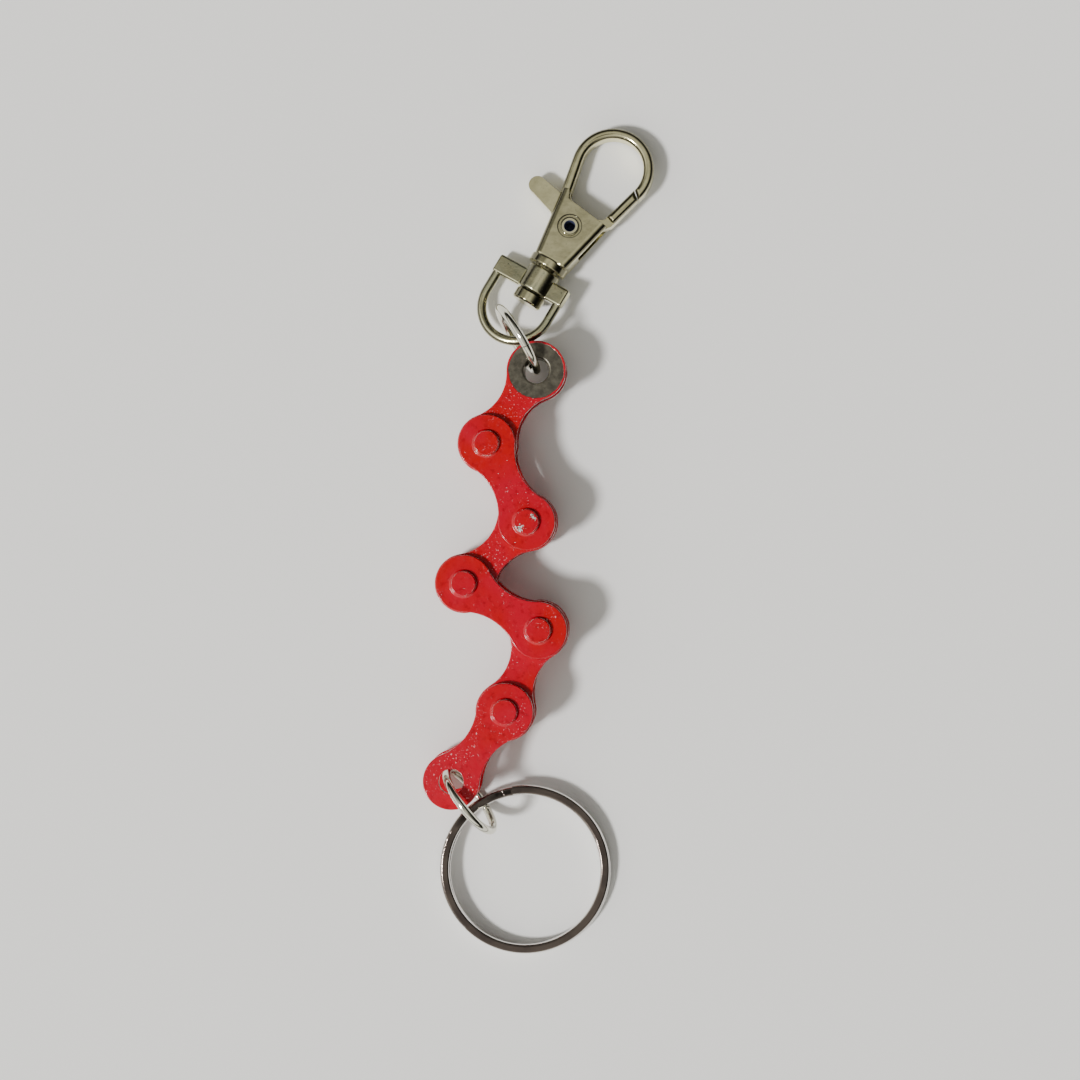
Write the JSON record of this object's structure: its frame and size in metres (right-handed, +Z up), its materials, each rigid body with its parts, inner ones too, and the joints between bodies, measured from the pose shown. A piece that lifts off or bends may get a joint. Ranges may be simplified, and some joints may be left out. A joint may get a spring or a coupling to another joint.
{
  "type": "chain key ring with swivel snap hook",
  "caption": "Key ring made of a short zigzag of red half-inch roller chain, with a nickel swivel snap hook at one end and a split ring at the other.",
  "frame": {"origin": "centre of the bounding box, on the table under the part", "axes": "+Y from the split ring to the snap hook, +Z up out of the table, +X to the right"},
  "size_m": [0.0332, 0.1214, 0.0117],
  "materials": {
    "nickel": "polished nickel plate over die-cast zinc and steel wire",
    "red_paint": "glossy red lacquer over steel, chipped at the edges",
    "roller_steel": "dark oiled steel with red overspray",
    "spring_steel": "bright spring wire"
  },
  "bodies": {
    "snap_hook": {"hook_body": "nickel", "gate_rivet": "nickel"},
    "gate": {"gate_lever": "nickel", "gate_spring": "spring_steel"},
    "bow": {"swivel_bow": "nickel"},
    "top_ring": {"top_jump_ring": "nickel"},
    "inner_link_1": {"inner_plate_1_top": "red_paint", "inner_plate_1_bottom": "red_paint"},
    "outer_link_1": {"outer_plate_1_top": "red_paint", "outer_plate_1_bottom": "red_paint", "pin_1": "red_paint", "pin_2": "red_paint"},
    "inner_link_2": {"inner_plate_2_top": "red_paint", "inner_plate_2_bottom": "red_paint"},
    "outer_link_2": {"outer_plate_2_top": "red_paint", "outer_plate_2_bottom": "red_paint", "pin_3": "red_paint", "pin_4": "red_paint"},
    "inner_link_3": {"inner_plate_3_top": "red_paint", "inner_plate_3_bottom": "red_paint"},
    "outer_link_3": {"outer_plate_3_top": "red_paint", "outer_plate_3_bottom": "red_paint", "pin_5": "red_paint"},
    "bottom_ring": {"bottom_jump_ring": "nickel"},
    "key_ring": {"split_ring": "nickel"},
    "roller_0_body": {"roller_0": "roller_steel"},
    "roller_1_body": {"roller_1": "roller_steel"},
    "roller_2_body": {"roller_2": "roller_steel"},
    "roller_3_body": {"roller_3": "roller_steel"},
    "roller_4_body": {"roller_4": "roller_steel"},
    "roller_5_body": {"roller_5": "roller_steel"}
  },
  "joints": [
    {"name": "gate_pivot", "type": "hinge", "parent": "snap_hook", "child": "gate", "pos_m": [0.00442, 0.046, 0.00261], "axis": [-0.0302, 0.0851, 0.9959], "range_deg": [0, 26], "stiffness_Nm_per_rad": 0.01, "springref_deg": -20.05, "deforming": ["gate_spring"]},
    {"name": "swivel", "type": "hinge", "parent": "snap_hook", "child": "bow", "pos_m": [0.00005, 0.03872, 0.0031], "axis": [0.5142, 0.8557, -0.0576], "continuous": true},
    {"name": "top_ring_swing", "type": "hinge", "parent": "bow", "child": "top_ring", "pos_m": [-0.00344, 0.02962, 0.00408], "axis": [0.9839, 0.0358, 0.175], "range_deg": [-45, 60]},
    {"name": "chain_end_swing", "type": "hinge", "parent": "top_ring", "child": "inner_link_1", "pos_m": [-0.00033, 0.02487, 0.0055], "axis": [0, 0, 1], "range_deg": [-40, 100]},
    {"name": "link_pivot_1", "type": "hinge", "parent": "inner_link_1", "child": "outer_link_1", "pos_m": [-0.00743, 0.01434, 0.0055], "axis": [0, 0, 1], "range_deg": [-150, 60]},
    {"name": "link_pivot_2", "type": "hinge", "parent": "outer_link_1", "child": "inner_link_2", "pos_m": [-0.00167, 0.00303, 0.0055], "axis": [0, 0, -1], "range_deg": [-130, 60]},
    {"name": "link_pivot_3", "type": "hinge", "parent": "inner_link_2", "child": "outer_link_2", "pos_m": [-0.01073, -0.00587, 0.0055], "axis": [0, 0, 1], "range_deg": [-150, 30]},
    {"name": "link_pivot_4", "type": "hinge", "parent": "outer_link_2", "child": "inner_link_3", "pos_m": [0.00005, -0.0126, 0.0055], "axis": [0, 0, -1], "range_deg": [-150, 50]},
    {"name": "link_pivot_5", "type": "hinge", "parent": "inner_link_3", "child": "outer_link_3", "pos_m": [-0.00481, -0.02434, 0.0055], "axis": [0, 0, 1], "range_deg": [-105, 105]},
    {"name": "bottom_ring_swing", "type": "hinge", "parent": "outer_link_3", "child": "bottom_ring", "pos_m": [-0.01255, -0.03441, 0.0055], "axis": [0, 0, -1], "range_deg": [-35, 80]},
    {"name": "split_ring_swing", "type": "hinge", "parent": "bottom_ring", "child": "key_ring", "pos_m": [-0.00931, -0.03895, 0.00231], "axis": [-0.7934, -0.6088, -0.001], "range_deg": [-75, 50]},
    {"name": "roller_spin_0", "type": "hinge", "parent": "inner_link_1", "child": "roller_0_body", "pos_m": [-0.00033, 0.02487, 0.0055], "axis": [0, 0, 1], "continuous": true},
    {"name": "roller_spin_1", "type": "hinge", "parent": "inner_link_1", "child": "roller_1_body", "pos_m": [-0.00743, 0.01434, 0.0055], "axis": [0, 0, 1], "continuous": true},
    {"name": "roller_spin_2", "type": "hinge", "parent": "inner_link_2", "child": "roller_2_body", "pos_m": [-0.00167, 0.00303, 0.0055], "axis": [0, 0, 1], "continuous": true},
    {"name": "roller_spin_3", "type": "hinge", "parent": "inner_link_2", "child": "roller_3_body", "pos_m": [-0.01073, -0.00587, 0.0055], "axis": [0, 0, 1], "continuous": true},
    {"name": "roller_spin_4", "type": "hinge", "parent": "inner_link_3", "child": "roller_4_body", "pos_m": [0.00005, -0.0126, 0.0055], "axis": [0, 0, 1], "continuous": true},
    {"name": "roller_spin_5", "type": "hinge", "parent": "inner_link_3", "child": "roller_5_body", "pos_m": [-0.00481, -0.02434, 0.0055], "axis": [0, 0, 1], "continuous": true}
  ]
}
